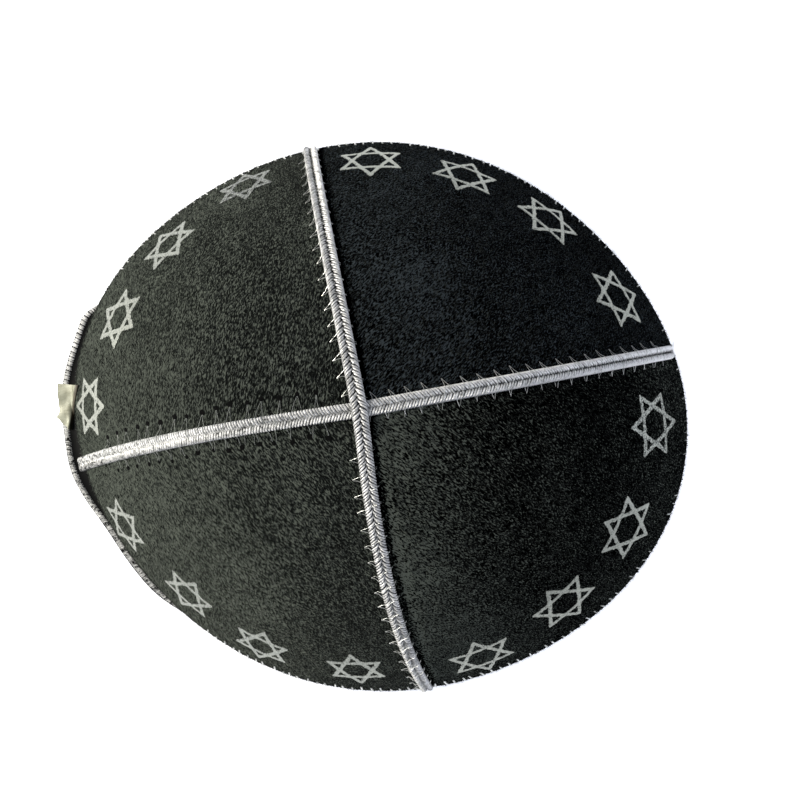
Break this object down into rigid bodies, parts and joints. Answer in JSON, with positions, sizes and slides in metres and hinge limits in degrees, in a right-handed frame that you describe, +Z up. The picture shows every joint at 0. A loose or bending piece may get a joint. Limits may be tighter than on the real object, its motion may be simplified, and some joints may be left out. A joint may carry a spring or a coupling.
{
  "type": "kippah skullcap",
  "caption": "Domed black suede skullcap sewn from gores, with silver braid over the crossing seams, a ring of foil stars and a braid under its edge.",
  "frame": {"origin": "on the floor, under the middle of the cap's plan", "axes": "+Z up through the crown, +X along the left to right seam towards the right, +Y along the front to back seam towards the back"},
  "size_m": [0.1784, 0.1622, 0.053],
  "materials": {
    "black_suede": "black suede with a soft matt nap",
    "silver_braid": "woven metallic silver thread",
    "pearl_satin": "pearly folded satin",
    "silver_foil": "thin printed silver foil"
  },
  "bodies": {
    "root": {"panel_back_right": "black_suede", "panel_back_left": "black_suede", "panel_front_left": "black_suede", "panel_front_right": "black_suede", "braid_left_right": "silver_braid", "braid_front_back": "silver_braid", "rim_braid": "silver_braid", "joint_tab": "pearl_satin", "star_01": "silver_foil", "star_02": "silver_foil", "star_03": "silver_foil", "star_04": "silver_foil", "star_05": "silver_foil", "star_06": "silver_foil", "star_07": "silver_foil", "star_08": "silver_foil", "star_09": "silver_foil", "star_10": "silver_foil", "star_11": "silver_foil", "star_12": "silver_foil", "star_13": "silver_foil", "star_14": "silver_foil", "star_15": "silver_foil", "star_16": "silver_foil"}
  },
  "joints": []
}
